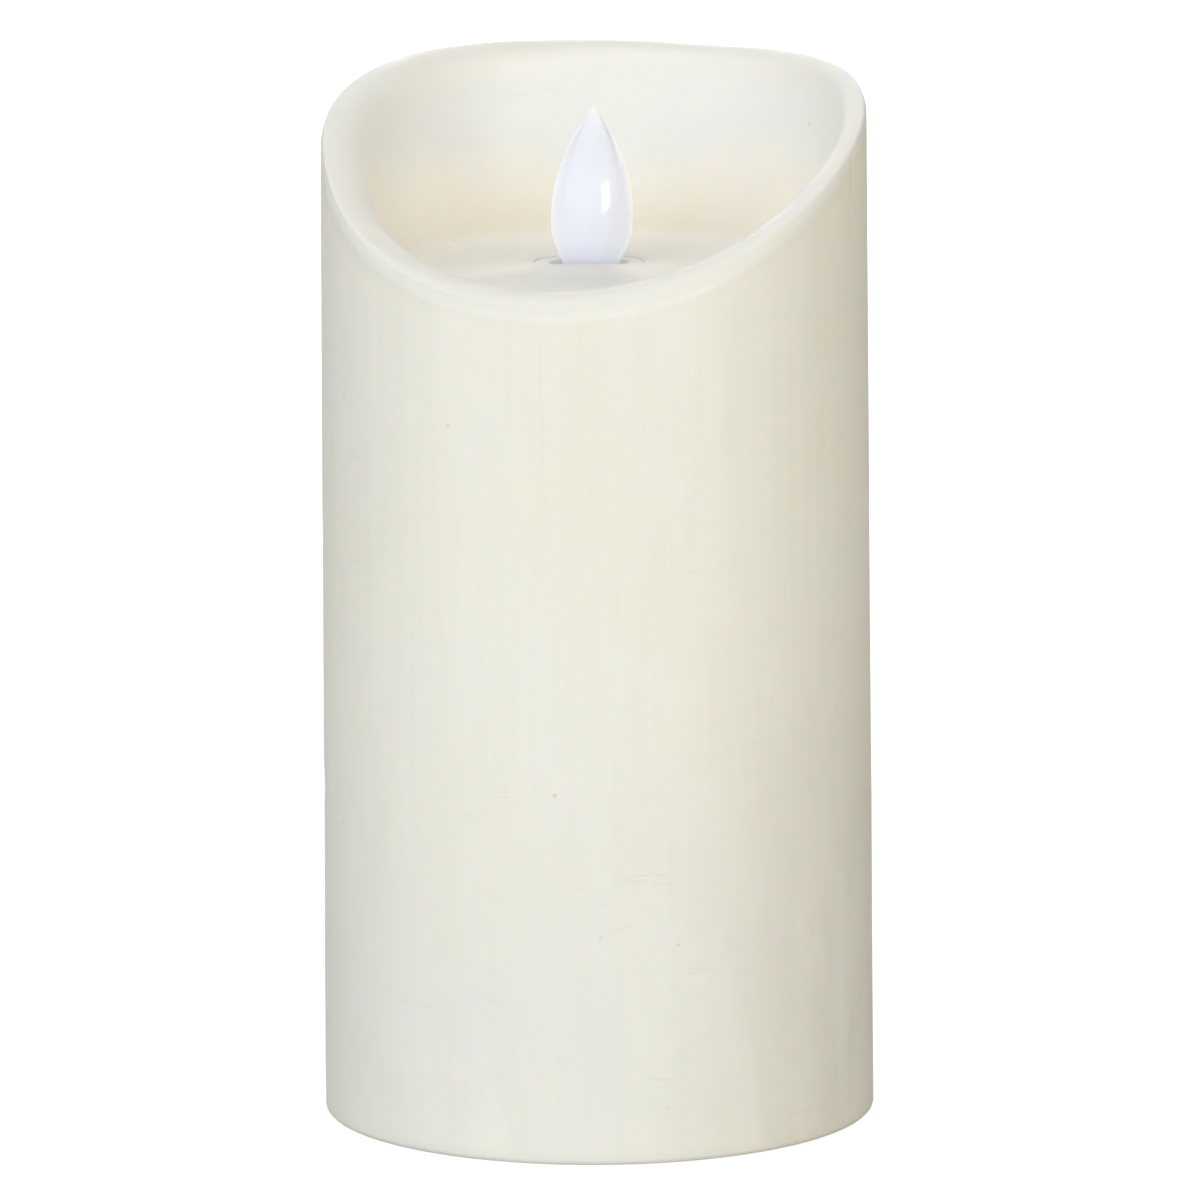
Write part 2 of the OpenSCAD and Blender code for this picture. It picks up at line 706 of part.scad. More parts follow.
module red_wire() {
    color("firebrick") wire(curve([
        [-2.5, switch_y, term_top], [-2.5, switch_y - 0.6, term_top + 5], [-1.6, wire_hole[1], tray_top + 1],
        [-2.5, 18, 36], [-5, 6, 50], [mech_x - 2.5, 0.5, 62], [mech_x - 1.2, 0, house_z],
        [mech_x - 1.2, 0, lead_top]], 4), wire_r, [1, 0.2, 0.05]);
}

module black_wire() {
    color("black") wire(curve([
        [contact_x - 0.8, cell_front_y, bay_top + 2.3], [22, cell_front_y + 3, bay_top + 2.6],
        [12, 8, bay_top + 2.7], [4, 18, bay_top + 3.2], [1.6, wire_hole[1], tray_top + 1.6],
        [3, 17, 38], [5, 5, 52], [mech_x + 2.6, -0.5, 63], [mech_x + 1.2, 0, house_z],
        [mech_x + 1.2, 0, lead_top]], 4), wire_r, [0.25, 1, -0.65]);
}

module switch_wire() {
    color("firebrick") wire(curve([
        [contact_x - 0.8, cell_rear_y, bay_top + 2.3], [21, cell_rear_y + 3, bay_top + 2.6],
        [12, 15, bay_top + 2.4], [5, 20, bay_top], [2.5, switch_y - 1.2, term_top + 2.6],
        [2.5, switch_y, term_top]], 4), wire_r, [1, 0.3, 1]);
}

wax_pillar();
flame_shell();
flame_carrier();
pendulum_magnet();
pivot_wire();
flame_collar();
housing_front();
housing_rear();
housing_screws();
coil_bobbin();
coil_winding();
led_lamp();
led_leads();
control_board();
driver_chip();
board_capacitor();
board_resistors();
base_tray();
base_cover();
cover_screws();
battery_door();
front_cell();
rear_cell();
bridge_contact();
bridge_spring();
positive_contact();
negative_contact();
negative_spring();
switch_case();
switch_knob();
switch_terminals();
switch_screws();
red_wire();
black_wire();
switch_wire();
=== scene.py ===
import json
import math

import bpy
import numpy as np
from mathutils import Euler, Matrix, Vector, noise


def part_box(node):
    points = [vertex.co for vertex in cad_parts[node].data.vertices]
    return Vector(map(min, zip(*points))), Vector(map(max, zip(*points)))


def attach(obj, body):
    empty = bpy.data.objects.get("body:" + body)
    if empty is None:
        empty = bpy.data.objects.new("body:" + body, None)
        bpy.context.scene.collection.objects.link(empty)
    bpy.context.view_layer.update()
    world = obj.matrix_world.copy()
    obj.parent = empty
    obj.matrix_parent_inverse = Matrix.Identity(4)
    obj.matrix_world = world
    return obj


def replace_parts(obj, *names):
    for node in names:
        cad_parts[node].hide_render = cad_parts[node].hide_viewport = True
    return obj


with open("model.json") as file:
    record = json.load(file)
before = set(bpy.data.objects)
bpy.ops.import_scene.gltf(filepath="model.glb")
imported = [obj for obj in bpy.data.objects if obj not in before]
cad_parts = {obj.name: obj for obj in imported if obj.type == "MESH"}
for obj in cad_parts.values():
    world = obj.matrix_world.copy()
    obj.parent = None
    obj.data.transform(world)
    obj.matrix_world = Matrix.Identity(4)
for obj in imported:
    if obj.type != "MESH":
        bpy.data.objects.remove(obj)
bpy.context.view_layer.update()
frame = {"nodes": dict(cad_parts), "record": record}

MM = 0.001
SCENE = bpy.context.scene
NODES = frame["nodes"]


# ---------------------------------------------------------------- driving sizes, in millimetres

def box_mm(node):
    """Lowest and highest corner of a CAD node, in millimetres."""
    low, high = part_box(node)
    return [c / MM for c in low], [c / MM for c in high]


WAX_LOW, WAX_HIGH = box_mm("wax_pillar")
COLLAR_LOW, COLLAR_HIGH = box_mm("flame_collar")

# the flame and its works stand a little to the left of the pillar's axis
MECH_X = (COLLAR_LOW[0] + COLLAR_HIGH[0]) / 2

# outside of the wax, which narrows by DRAFT for each millimetre of height
PILLAR_R = (WAX_HIGH[0] - WAX_LOW[0]) / 2
DRAFT = 0.0057
FOOT_ROUND = 0.8

# bowl: a level floor, a wall that leans outwards, and a shoulder that rolls over into the rim
FLOOR_Z = COLLAR_HIGH[2] + 0.1
FLOOR_R = 22.0
BOWL_DEPTH = 24.0
WALL_LEAN = math.radians(12)
WALL_END = math.radians(78)
RIM_MEAN = 140.8
RIM_OUTER_R = 2.0
RIM_SHOULDER = 4.2
EDGE_INSET = 0.25

# hole of the flame's ring, the hollow above the base, and the base's seat
COLLAR_R = (COLLAR_HIGH[0] - COLLAR_LOW[0]) / 2
HOLE_R = COLLAR_R + 0.04
ROOF_Z = COLLAR_LOW[2]
ROOF_R = 20
HOLLOW_R = 34.4
HOLLOW_MID_Z = 70
SEAT_R = box_mm("base_tray")[1][0] + 0.3
SEAT_Z = 26.2
SEAT_CHAMFER = 0.4


# ---------------------------------------------------------------- mesh helpers

def link_piece(name, mesh, body, material):
    """Adds a smooth mesh to the scene as a piece that rides on a body and takes its finish from a slot."""
    obj = bpy.data.objects.new(name, mesh)
    SCENE.collection.objects.link(obj)
    mesh.shade_smooth()
    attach(obj, body)
    mesh.materials.append(material)
    return obj


def ring_mesh(name, rings, closed_path):
    """Quads between successive rings of points; each ring closes on itself."""
    count, sides = rings.shape[:2]
    verts = rings.reshape(-1, 3) * MM
    last = count if closed_path else count - 1
    i = np.arange(last)[:, None]
    k = np.arange(sides)[None, :]
    here, there = i * sides, ((i + 1) % count) * sides
    nxt = (k + 1) % sides
    faces = np.stack([here + k, here + nxt, there + nxt, there + k], axis=-1).reshape(-1, 4)
    mesh = bpy.data.meshes.new(name)
    mesh.from_pydata(verts.tolist(), [], faces.tolist())
    mesh.validate()
    mesh.update()
    return mesh


def store(mesh, name, values):
    """Keeps one number for each vertex, for the material to read."""
    attribute = mesh.attributes.new(name, "FLOAT", "POINT")
    attribute.data.foreach_set("value", np.asarray(values, np.float32).ravel())


# ---------------------------------------------------------------- node helpers, with lengths in metres

class Shader:
    """A material's node tree, with short calls for the nodes that these materials use."""

    def __init__(self, name):
        self.material = bpy.data.materials.new(name)
        self.material.use_nodes = True
        self.tree = self.material.node_tree
        self.nodes = self.tree.nodes
        self.bsdf = self.nodes["Principled BSDF"]
        self.out = self.nodes["Material Output"]
        self.coord = self.nodes.new("ShaderNodeTexCoord").outputs["Object"]

    def link(self, a, b):
        self.tree.links.new(a, b)

    def put(self, socket, value):
        if isinstance(value, bpy.types.NodeSocket):
            self.link(value, socket)
        else:
            socket.default_value = value

    def set(self, **values):
        """Sets inputs of the Principled shader by name, with _ for each space."""
        for key, value in values.items():
            self.put(self.bsdf.inputs[key.replace("_", " ")], value)

    def stretched(self, scale):
        """Object coordinates multiplied by scale along x, y and z."""
        node = self.nodes.new("ShaderNodeMapping")
        self.link(self.coord, node.inputs["Vector"])
        node.inputs["Scale"].default_value = scale
        return node.outputs["Vector"]

    def noise(self, scale, detail=3.0, rough=0.5, vector=None, warp=0.0):
        node = self.nodes.new("ShaderNodeTexNoise")
        self.link(vector or self.coord, node.inputs["Vector"])
        node.inputs["Scale"].default_value = scale
        node.inputs["Detail"].default_value = detail
        node.inputs["Roughness"].default_value = rough
        node.inputs["Distortion"].default_value = warp
        return node.outputs["Fac"]

    def cells(self, scale, feature="F1", jitter=1.0):
        node = self.nodes.new("ShaderNodeTexVoronoi")
        node.feature = feature
        self.link(self.coord, node.inputs["Vector"])
        node.inputs["Scale"].default_value = scale
        node.inputs["Randomness"].default_value = jitter
        return node.outputs["Distance"]

    def attribute(self, name):
        node = self.nodes.new("ShaderNodeAttribute")
        node.attribute_name = name
        return node.outputs["Fac"]

    def axis(self, index):
        node = self.nodes.new("ShaderNodeSeparateXYZ")
        self.link(self.coord, node.inputs[0])
        return node.outputs[index]

    def math(self, kind, a, b=0.0):
        node = self.nodes.new("ShaderNodeMath")
        node.operation = kind
        self.put(node.inputs[0], a)
        self.put(node.inputs[1], b)
        return node.outputs[0]

    def spread(self, value, low, high, to_low=0.0, to_high=1.0):
        """Eases value from the range low..high to to_low..to_high, and no further."""
        node = self.nodes.new("ShaderNodeMapRange")
        node.interpolation_type = "SMOOTHSTEP"
        self.link(value, node.inputs["Value"])
        node.inputs["From Min"].default_value = low
        node.inputs["From Max"].default_value = high
        node.inputs["To Min"].default_value = to_low
        node.inputs["To Max"].default_value = to_high
        return node.outputs["Result"]

    def mix(self, share, a, b):
        """Mixes two colours."""
        node = self.nodes.new("ShaderNodeMix")
        node.data_type = "RGBA"
        self.put(node.inputs[0], share)
        for socket, value in ((node.inputs[6], a), (node.inputs[7], b)):
            self.put(socket, value if isinstance(value, bpy.types.NodeSocket) else (*value, 1.0))
        return node.outputs[2]

    def tint(self, colour, mask, share, tone):
        """Takes colour towards tone by a share of the mask."""
        return self.mix(self.math("MULTIPLY", mask, share), colour, tone)

    def bump(self, height, strength, distance, under=None):
        """Bump of the given height in metres, laid over another one."""
        node = self.nodes.new("ShaderNodeBump")
        node.inputs["Strength"].default_value = strength
        node.inputs["Distance"].default_value = distance
        self.link(height, node.inputs["Height"])
        if under is not None:
            self.link(under, node.inputs["Normal"])
        return node.outputs["Normal"]

    def soft_edges(self, radius):
        """Normals that round every sharp edge by radius, in metres."""
        node = self.nodes.new("ShaderNodeBevel")
        node.samples = 4
        node.inputs["Radius"].default_value = radius
        return node.outputs["Normal"]


# ---------------------------------------------------------------- wax

# colours of the wax, each over the ones before it; the foot colour is partly painted shade, and the
# right-side, bowl and crest colours are painted light and shade
WAX_WARM = (0.903, 0.887, 0.790)
WAX_COOL = (0.897, 0.898, 0.840)
WAX_LOW_COOL_SHADE = (0.835, 0.85, 0.83)
WAX_RIGHT_WARM_SHADE = (0.90, 0.865, 0.735)
WAX_LOW_RIGHT_SHADE = (0.76, 0.745, 0.69)
WAX_MOTTLE = (0.93, 0.925, 0.86)
WAX_STREAK = (0.82, 0.80, 0.70)
WAX_LINE = (0.83, 0.80, 0.72)
WAX_BROAD_STREAK = (0.865, 0.855, 0.765)
WAX_BLOOM = (0.93, 0.93, 0.885)
WAX_SCUFF = (0.76, 0.73, 0.64)
BOWL_WALL_SHADE = (0.772, 0.789, 0.788)
BOWL_DEEP_SHADE = (0.860, 0.790, 0.665)
BOWL_FLOOR_LIGHT = (0.96, 0.93, 0.87)
WAX_CREST_SHADE = (0.785, 0.79, 0.765)
WAX_PIT = (0.55, 0.52, 0.42)


def wax_side_shade(s, colour):
    """Cooler wax near the foot, darkened there by painted shade, and painted warm shade to the right,
    deepest low on the right.
    """
    height = s.axis("Z")
    # painted shade: cooler in tone and darker towards the foot, where less light falls
    colour = s.tint(colour, s.spread(height, 0.020, 0.075, 1.0, 0.0), 0.7, WAX_LOW_COOL_SHADE)
    # painted warm shade over the right side of the wax
    right_shade = s.spread(s.axis("X"), 0.004, 0.036)
    colour = s.tint(colour, right_shade, 0.45, WAX_RIGHT_WARM_SHADE)
    # deeper painted shade low on the right side
    low_right_shade = s.math("MULTIPLY", right_shade, s.spread(height, 0.025, 0.090, 0.75, 0.0))
    return s.mix(low_right_shade, colour, WAX_LOW_RIGHT_SHADE)


def wax_bowl_light_and_shade(s, colour):
    """Painted shade on the bowl's wall, warmer painted shade low down, painted light on the floor and
    painted shade on the crest.
    """
    bowl = s.attribute("bowl")
    depth = s.attribute("depth")
    cloudy = s.math("ADD", depth, s.spread(s.noise(45, 3, 0.6), 0.25, 0.75, -0.16, 0.16))
    # painted shade: the bowl's wall greyed where it gets less light than the outside
    wall_shade_share = s.math("MULTIPLY", bowl, s.spread(cloudy, 0.20, 0.85, 0.85, 0.0))
    colour = s.mix(wall_shade_share, colour, BOWL_WALL_SHADE)
    # painted shade and painted warm bounce light low in the bowl
    deep = s.math("MULTIPLY", bowl, s.spread(cloudy, 0.30, 1.00, 0.0, 0.60))
    colour = s.mix(deep, colour, BOWL_DEEP_SHADE)
    # painted light: the bowl's floor lifted brighter
    level = s.math("MULTIPLY", bowl, s.spread(depth, 0.90, 1.0, 0.0, 0.85))
    colour = s.mix(level, colour, BOWL_FLOOR_LIGHT)
    # painted shade on the crest, which catches more light from above and in front
    return s.tint(colour, s.attribute("crest"), 0.95, WAX_CREST_SHADE)


def wax_material():
    """Cast wax with clouds, upright streaks, faint level scuffs and small pits, with painted light and shade
    on its sides, in the bowl and on the crest.
    """
    s = Shader("wax")
    cloud = s.noise(28, 4, 0.55, warp=0.6)
    mottle = s.noise(110, 5, 0.6, vector=s.stretched((1, 1, 0.6)))
    streak = s.noise(900, 3, 0.6, vector=s.stretched((1, 1, 0.035)))
    line = s.noise(1400, 2, 0.5, vector=s.stretched((0.03, 0.03, 1)))
    broad = s.noise(190, 4, 0.65, vector=s.stretched((1, 1, 0.035)), warp=0.4)
    bloom = s.noise(75, 5, 0.6, vector=s.stretched((1, 1, 0.28)), warp=0.6)
    scuff = s.noise(420, 4, 0.6, vector=s.stretched((0.3, 0.3, 1.8)), warp=1.2)
    scuff = s.math("MULTIPLY", s.spread(scuff, 0.60, 0.72), s.spread(s.noise(38, 3), 0.48, 0.62))
    pit = s.spread(s.cells(150), 0.02, 0.06, 1.0, 0.0)
    pit = s.math("MULTIPLY", pit, s.spread(s.noise(90, 1), 0.50, 0.64))

    colour = wax_side_shade(s, s.mix(s.spread(cloud, 0.36, 0.64), WAX_WARM, WAX_COOL))
    colour = s.tint(colour, s.spread(mottle, 0.35, 0.7), 0.25, WAX_MOTTLE)
    colour = s.tint(colour, s.spread(streak, 0.45, 0.72), 0.17, WAX_STREAK)
    colour = s.tint(colour, s.spread(line, 0.5, 0.8), 0.05, WAX_LINE)
    colour = s.tint(colour, s.spread(broad, 0.42, 0.64), 0.36, WAX_BROAD_STREAK)
    colour = s.tint(colour, s.spread(bloom, 0.50, 0.72), 0.35, WAX_BLOOM)
    colour = s.tint(colour, scuff, 0.20, WAX_SCUFF)
    colour = wax_bowl_light_and_shade(s, colour)
    colour = s.tint(colour, pit, 0.42, WAX_PIT)

    rough = s.spread(s.noise(160, 4), 0.3, 0.7, 0.42, 0.56)
    hollows = s.math("SUBTRACT", 0.0, s.math("MAXIMUM", pit, s.math("MULTIPLY", scuff, 0.3)))
    normal = s.bump(broad, 0.5, 0.00012)
    normal = s.bump(streak, 0.35, 0.00008, normal)
    normal = s.bump(mottle, 0.5, 0.00018, normal)
    normal = s.bump(s.noise(2400, 3), 0.3, 0.00004, normal)
    normal = s.bump(hollows, 0.6, 0.0002, normal)
    s.set(Base_Color=colour, Roughness=rough, Normal=normal, Subsurface_Weight=0.55,
          Subsurface_Scale=0.004, Subsurface_Radius=(1.0, 0.8, 0.5), IOR=1.44, Specular_IOR_Level=0.5)
    return s.material


RIM_COLUMNS = 96
RIM_WAVES = 6
# rings from the rounded foot to the roof, which stay plain
INNER_RINGS = 14

# places where the melted rim stands higher: the angle of each, its width in degrees and its height
RIM_RISES = ((180, 75, 0.35), (270, 32, 1.0), (118, 42, 0.85))
WIDE_SHOULDER_AT = math.radians(290)

# sizes of the wax's waves, dimples and grain, and how far it stands up in front of the flame's ring
WAVE_SIZE = 26
DIMPLE_SIZE = 7
GRAIN_SIZE = 1.6
LIP_RISE = 0.72


def near(value, centre, width):
    """1 at centre, easing to 0 at a distance of width."""
    return np.clip(1 - ((value - centre) / width) ** 2, 0, 1) ** 2


def rim_heights(angles):
    """Height of the rim's crest at each angle, from the frame's own rim.

    Angles count from the front (-Y) towards the right (+X)."""
    points = np.array([v.co for v in NODES["wax_pillar"].data.vertices]) / MM
    points = points[points[:, 2] > FLOOR_Z + 0.01]
    turn = np.arctan2(points[:, 0], -points[:, 1]) % (2 * math.pi)
    column = np.round(turn / (2 * math.pi) * RIM_COLUMNS).astype(int) % RIM_COLUMNS
    crest = np.array([points[column == c, 2].max() for c in range(RIM_COLUMNS)])
    waves = np.fft.rfft(crest) / RIM_COLUMNS
    height = np.full_like(angles, waves[0].real)
    for n in range(1, RIM_WAVES + 1):
        height += 2 * (waves[n].real * np.cos(n * angles) - waves[n].imag * np.sin(n * angles))
    for centre, width, rise in RIM_RISES:
        away = (np.degrees(angles) - centre + 180) % 360 - 180
        height = height + rise * near(away, 0, width)
    return height


def wax_rings(angles):
    """Radius and height of every ring of the wax, with how much it is in the bowl and how deep.

    The rings run from the hole over the floor, the bowl's wall and the rim, down the outside, and back up
    through the hollow to the hole."""
    crest = rim_heights(angles)
    # the rim is crisp outside on both flanks, and melted round at the front
    outer = RIM_OUTER_R * (0.25 + 0.30 * np.cos(angles) ** 2 + 0.75 * np.clip(np.cos(angles), 0, 1) ** 3)
    shoulder_w = RIM_SHOULDER * (1 + 0.45 * np.cos(angles - WIDE_SHOULDER_AT))
    shoulder_h = np.minimum(0.9 * shoulder_w, 0.5 * (crest - FLOOR_Z))
    edge_r = PILLAR_R - DRAFT * RIM_MEAN - EDGE_INSET
    crest_r = edge_r - outer - 0.3
    # the wall meets the shoulder at the same slope
    start_r = crest_r - shoulder_w * math.cos(WALL_LEAN)
    start_z = crest - shoulder_h * (1 - math.sin(WALL_LEAN))
    wall_w = (start_r - FLOOR_R) / math.sin(WALL_END)
    wall_h = (start_z - FLOOR_Z) / (1 - math.cos(WALL_END))
    one = np.ones_like(angles)
    rings = []

    def add(r, z, bowl=0.0, depth=0.0):
        rings.append((r * one, z * one, bowl * one, depth * one))

    def add_in_bowl(r, z):
        add(r, z, 1, 1 - (z - FLOOR_Z) / BOWL_DEPTH)

    add(HOLE_R, ROOF_Z, 1, 1)
    add(HOLE_R, FLOOR_Z - 2.5, 1, 1)
    add(HOLE_R, FLOOR_Z - 0.43, 1, 1)
    # melted wax laps over the ring's chamfer
    add(COLLAR_R - 0.10, FLOOR_Z - 0.20, 1, 1)
    add(COLLAR_R - 0.10, FLOOR_Z - 0.10, 1, 1)
    add(COLLAR_R, FLOOR_Z - 0.03, 1, 1)
    for r in np.linspace(COLLAR_R + 0.2, FLOOR_R, 15)[:-1]:
        add_in_bowl(r, FLOOR_Z)
    for t in np.linspace(0, WALL_END, 28):
        add_in_bowl(FLOOR_R + wall_w * math.sin(t), FLOOR_Z + wall_h * (1 - math.cos(t)))
    for t in np.linspace(WALL_LEAN, math.pi / 2, 14)[1:]:
        add_in_bowl(crest_r - shoulder_w * math.cos(t), crest - shoulder_h * (1 - math.sin(t)))
    for t in np.radians(np.linspace(0, 90, 9)):
        add(edge_r - outer * (1 - math.sin(t)), crest - outer * (1 - math.cos(t)))
    top = crest - outer - 0.5
    for u in np.linspace(0, 1, 96):
        z = top + (FOOT_ROUND - top) * u
        add(PILLAR_R - DRAFT * z, z)
    for t in np.radians((30, 60, 90)):
        add(PILLAR_R - FOOT_ROUND * (1 - math.cos(t)), FOOT_ROUND * (1 - math.sin(t)))
    add(PILLAR_R - 2.5, 0)
    add(SEAT_R + SEAT_CHAMFER, 0)
    add(SEAT_R, SEAT_CHAMFER)
    add(SEAT_R, SEAT_Z / 2)
    add(SEAT_R, SEAT_Z)
    add(HOLLOW_R, SEAT_Z)
    add(HOLLOW_R, HOLLOW_MID_Z)
    add(HOLLOW_R, ROOF_Z - 8)
    add(HOLLOW_R - 2, ROOF_Z - 3)
    add(HOLLOW_R - 6, ROOF_Z)
    add(ROOF_R, ROOF_Z)
    return [np.array(x) for x in zip(*rings)]


def ripple(points, scale, seed):
    """Smooth noise between about -1 and 1 at each point; scale is the size of its bumps in millimetres."""
    shift = Vector((seed * 17.3, seed * 5.1, seed * 9.7))
    values = [noise.noise(Vector(p) / scale + shift) for p in points.reshape(-1, 3)]
    return np.array(values).reshape(points.shape[:2])


def outside_relief(turn, height, below_rim, wave, dimple, grain):
    """How far the outside of the wax stands out from its plain shape, in millimetres."""
    out = 0.07 * wave + 0.025 * dimple
    # wax crumbs left just under the rim on both flanks
    crumbs = near(turn, 285, 12) * near(below_rim, 6, 7) + near(turn, 70, 12) * near(below_rim, 6, 8)
    out = out + crumbs * 0.30 * np.maximum(grain, -0.2)
    # a nick and a scratch low on the left flank
    out = out - 0.45 * near(turn, 271, 4) * near(height, 48, 2.2)
    return out - 0.10 * near(turn, 286 + (height - 27) * 0.15, 0.9) * near(height, 27, 5)


def melted_lip(turn, points):
    """Share of the melted wax that stands up in front of the flame's ring and hides its near side."""
    from_hole = np.hypot(points[..., 0] - MECH_X, points[..., 1]) - HOLE_R
    around = np.clip(1 - ((turn + 180) % 360 - 180) ** 2 / 95 ** 2, 0, 1) ** 1.5
    return around * near(from_hole, 1.2, 7)


def build_wax():
    """Shell of wax with a melted rim and bowl. Each vertex keeps its place in the bowl and on the crest."""
    sides = 480
    angles = np.arange(sides) * 2 * math.pi / sides
    radius, height, bowl, depth = wax_rings(angles)
    count = len(radius)
    # the rings around the hole are centred on the flame, and the rest on the pillar
    off_axis = MECH_X * np.clip((FLOOR_R - radius) / (FLOOR_R - HOLE_R), 0, 1)
    points = np.stack([radius * np.sin(angles) + off_axis, -radius * np.cos(angles), height], axis=-1)

    turn = np.degrees(np.broadcast_to(angles, (count, sides)))
    below_rim = rim_heights(angles) - height
    before_hollow = np.arange(count)[:, None] < count - INNER_RINGS
    outside = (radius > PILLAR_R - 3.5) & (height > 0.5) & before_hollow
    inside = bowl > 0
    wave = ripple(points, WAVE_SIZE, 1)
    dimple = ripple(points, DIMPLE_SIZE, 2)
    grain = ripple(points, GRAIN_SIZE, 3)

    out = np.where(outside, outside_relief(turn, height, below_rim, wave, dimple, grain), 0.0)
    points[..., 0] += out * np.sin(angles)
    points[..., 1] -= out * np.cos(angles)
    rim_share = np.clip(1 - below_rim / 4, 0, 1)
    melt = 0.14 * wave + 0.07 * dimple + 0.02 * grain
    up = melt * (1 - rim_share) * np.clip((radius - HOLE_R) / 6, 0, 1)
    up = up + LIP_RISE * melted_lip(turn, points) * (height > FLOOR_Z - 1)
    points[..., 2] += np.where(inside, up, 0.0) + np.where(outside | inside, rim_share * 0.10 * dimple, 0.0)

    mesh = ring_mesh("wax_body", points, closed_path=True)
    # share of the painted shade on the crest and just below it
    crest = np.clip((5.0 - below_rim) / 3.5, 0, 1) * (height > FLOOR_Z - 4) * (outside | inside)
    store(mesh, "bowl", np.clip(bowl, 0, 1))
    store(mesh, "depth", np.clip(depth, 0, 1))
    store(mesh, "crest", crest)
    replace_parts(link_piece("wax_body", mesh, "root", wax_material()), "wax_pillar")


# ---------------------------------------------------------------- flame

FLAME_R = 5.9
FLAME_WIDE_Z = 130.3
FLAME_TIP_Z = 146.6
FLAME_TIP_ROUND = 0.35
FLAME_WALL = 1.2
FLAME_SOLID_TIP = 3
FLAME_FOOT_CURVE = 0.0445
FLAME_NECK_R = 3.1
FLAME_NECK_BLEND = 0.5
FLAME_BOTTOM = 118.5
FLAME_EDGE = 0.2
FLAME_AXIS_R = 0.02
FLAME_LEAST_BORE = 0.06
FLAME_LEAN = math.radians(1.8)
PIVOT_Z = 115.4

FLAME_DULL = (0.66, 0.68, 0.74)
FLAME_CLEAR = (0.69, 0.71, 0.76)
FLAME_PAINTED_GLOW = (0.78, 0.82, 0.95, 1.0)


def flame_radius(z):
    """Outer radius of the flame at a height."""
    if z > FLAME_WIDE_Z:
        return FLAME_R * (1 - ((z - FLAME_WIDE_Z) / (FLAME_TIP_Z - FLAME_WIDE_Z)) ** 2)
    foot = FLAME_R - FLAME_FOOT_CURVE * (FLAME_WIDE_Z - z) ** 2 - FLAME_NECK_R
    # the foot runs smoothly into the neck
    return FLAME_NECK_R + 0.5 * (foot + math.hypot(foot, FLAME_NECK_BLEND))


def flame_material():
    """Translucent plastic with a smooth gloss, with a painted glow that stands in for light through the
    shell, painted a little brighter at its outline.
    """
    s = Shader("flame_plastic")
    haze = s.noise(140, 3, 0.5, vector=s.stretched((1, 1, 0.5)))
    colour = s.mix(s.spread(haze, 0.35, 0.65), FLAME_DULL, FLAME_CLEAR)
    rough = s.spread(s.noise(600, 2), 0.3, 0.7, 0.30, 0.40)
    normal = s.bump(s.noise(900, 2), 0.15, 0.00004)
    # painted glow: emission standing in for light through the shell, painted brighter towards the outline
    rim = s.nodes.new("ShaderNodeLayerWeight")
    rim.inputs["Blend"].default_value = 0.35
    glow = s.math("ADD", s.math("MULTIPLY", s.math("POWER", rim.outputs["Facing"], 2.5), 0.55), 0.17)
    s.set(Base_Color=colour, Roughness=rough, Normal=normal, IOR=1.40, Specular_IOR_Level=0.3,
          Subsurface_Weight=1.0, Subsurface_Scale=0.006, Subsurface_Radius=(1.0, 1.0, 1.0),
          Coat_Weight=1.0, Coat_Roughness=0.08, Emission_Color=FLAME_PAINTED_GLOW, Emission_Strength=glow)
    return s.material


def flame_outline():
    """Radius and height from the foot up the outside, over the tip and down the inside."""
    top = FLAME_TIP_Z - FLAME_TIP_ROUND
    low = FLAME_BOTTOM + FLAME_EDGE
    inner_top = FLAME_TIP_Z - FLAME_SOLID_TIP
    outer = [(flame_radius(z), z) for z in np.linspace(low, top, 90)]
    end_r = outer[-1][0]
    cap = [(end_r * math.cos(t), top + FLAME_TIP_ROUND * math.sin(t)) for t in np.radians((30, 60, 85))]
    axis = [(FLAME_AXIS_R, FLAME_TIP_Z), (FLAME_AXIS_R, inner_top)]
    heights = np.linspace(inner_top, low, 30)
    inner = [(max(FLAME_LEAST_BORE, flame_radius(z) - FLAME_WALL), z) for z in heights]
    foot = [(FLAME_NECK_R - FLAME_WALL + 0.15, FLAME_BOTTOM), (FLAME_NECK_R - FLAME_EDGE, FLAME_BOTTOM)]
    return np.array(outer + cap + axis + inner + foot)


def build_flame():
    """Hollow teardrop, turned about its axis and leant over around the pivot."""
    sides = 96
    angles = np.arange(sides) * 2 * math.pi / sides
    radius, height = (column[:, None] for column in flame_outline().T)
    x = radius * np.sin(angles)
    y = -radius * np.cos(angles)
    z = (height - PIVOT_Z) * np.ones_like(x)
    c, s = math.cos(FLAME_LEAN), math.sin(FLAME_LEAN)
    rings = np.stack([MECH_X + c * x + s * z, y, PIVOT_Z - s * x + c * z], axis=-1)
    mesh = ring_mesh("flame", rings, closed_path=True)
    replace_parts(link_piece("flame", mesh, "flame", flame_material()), "flame_shell")


# ---------------------------------------------------------------- finishes of the carried-over CAD nodes

def plastic(name, colour, rough, grain=1800, speck=0.04, bump=0.00003, **more):
    """Moulded plastic: a fine spark-eroded grain, a faint drift of colour and uneven gloss."""
    s = Shader(name)
    drift = s.noise(70, 3)
    dark = tuple(c * (1 - 2 * speck) for c in colour)
    light = tuple(min(1, c * (1 + speck)) for c in colour)
    base = s.mix(s.spread(drift, 0.3, 0.7), dark, light)
    texture = s.noise(grain, 3, 0.6)
    s.set(Base_Color=base, Roughness=s.spread(s.noise(250, 3), 0.3, 0.7, rough - 0.06, rough + 0.08),
          Normal=s.bump(texture, 0.5, bump, s.soft_edges(0.0003)), **more)
    return s.material


